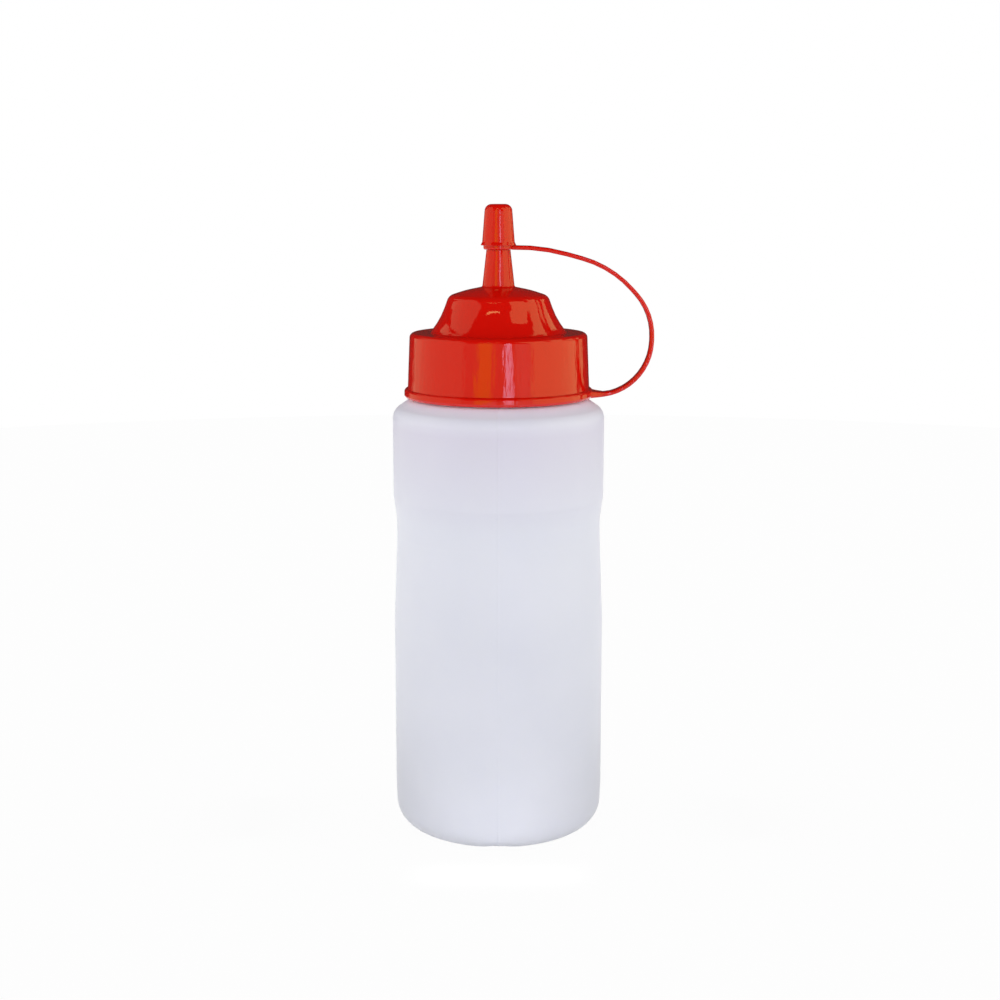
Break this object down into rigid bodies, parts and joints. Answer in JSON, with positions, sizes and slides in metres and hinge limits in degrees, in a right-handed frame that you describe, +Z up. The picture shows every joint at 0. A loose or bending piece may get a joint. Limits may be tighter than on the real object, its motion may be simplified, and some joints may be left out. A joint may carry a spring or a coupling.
{
  "type": "squeeze bottle",
  "caption": "Translucent round sauce squeeze bottle with a shallow waist, a red screw closure with a cone nozzle, and a tip cap tethered by a looped strap.",
  "frame": {"origin": "on the bottle's axis, in the plane of the ring that it stands on", "axes": "+Z up along the bottle's axis, +X towards the strap's loop, -Y towards the front with the mould's parting line"},
  "size_m": [0.0862, 0.07, 0.2092],
  "materials": {
    "bottle_plastic": "frosted, translucent natural polyethylene",
    "closure_plastic": "glossy moulded polyethylene, red"
  },
  "bodies": {
    "root": {"bottle": "bottle_plastic", "closure": "closure_plastic"}
  },
  "joints": []
}
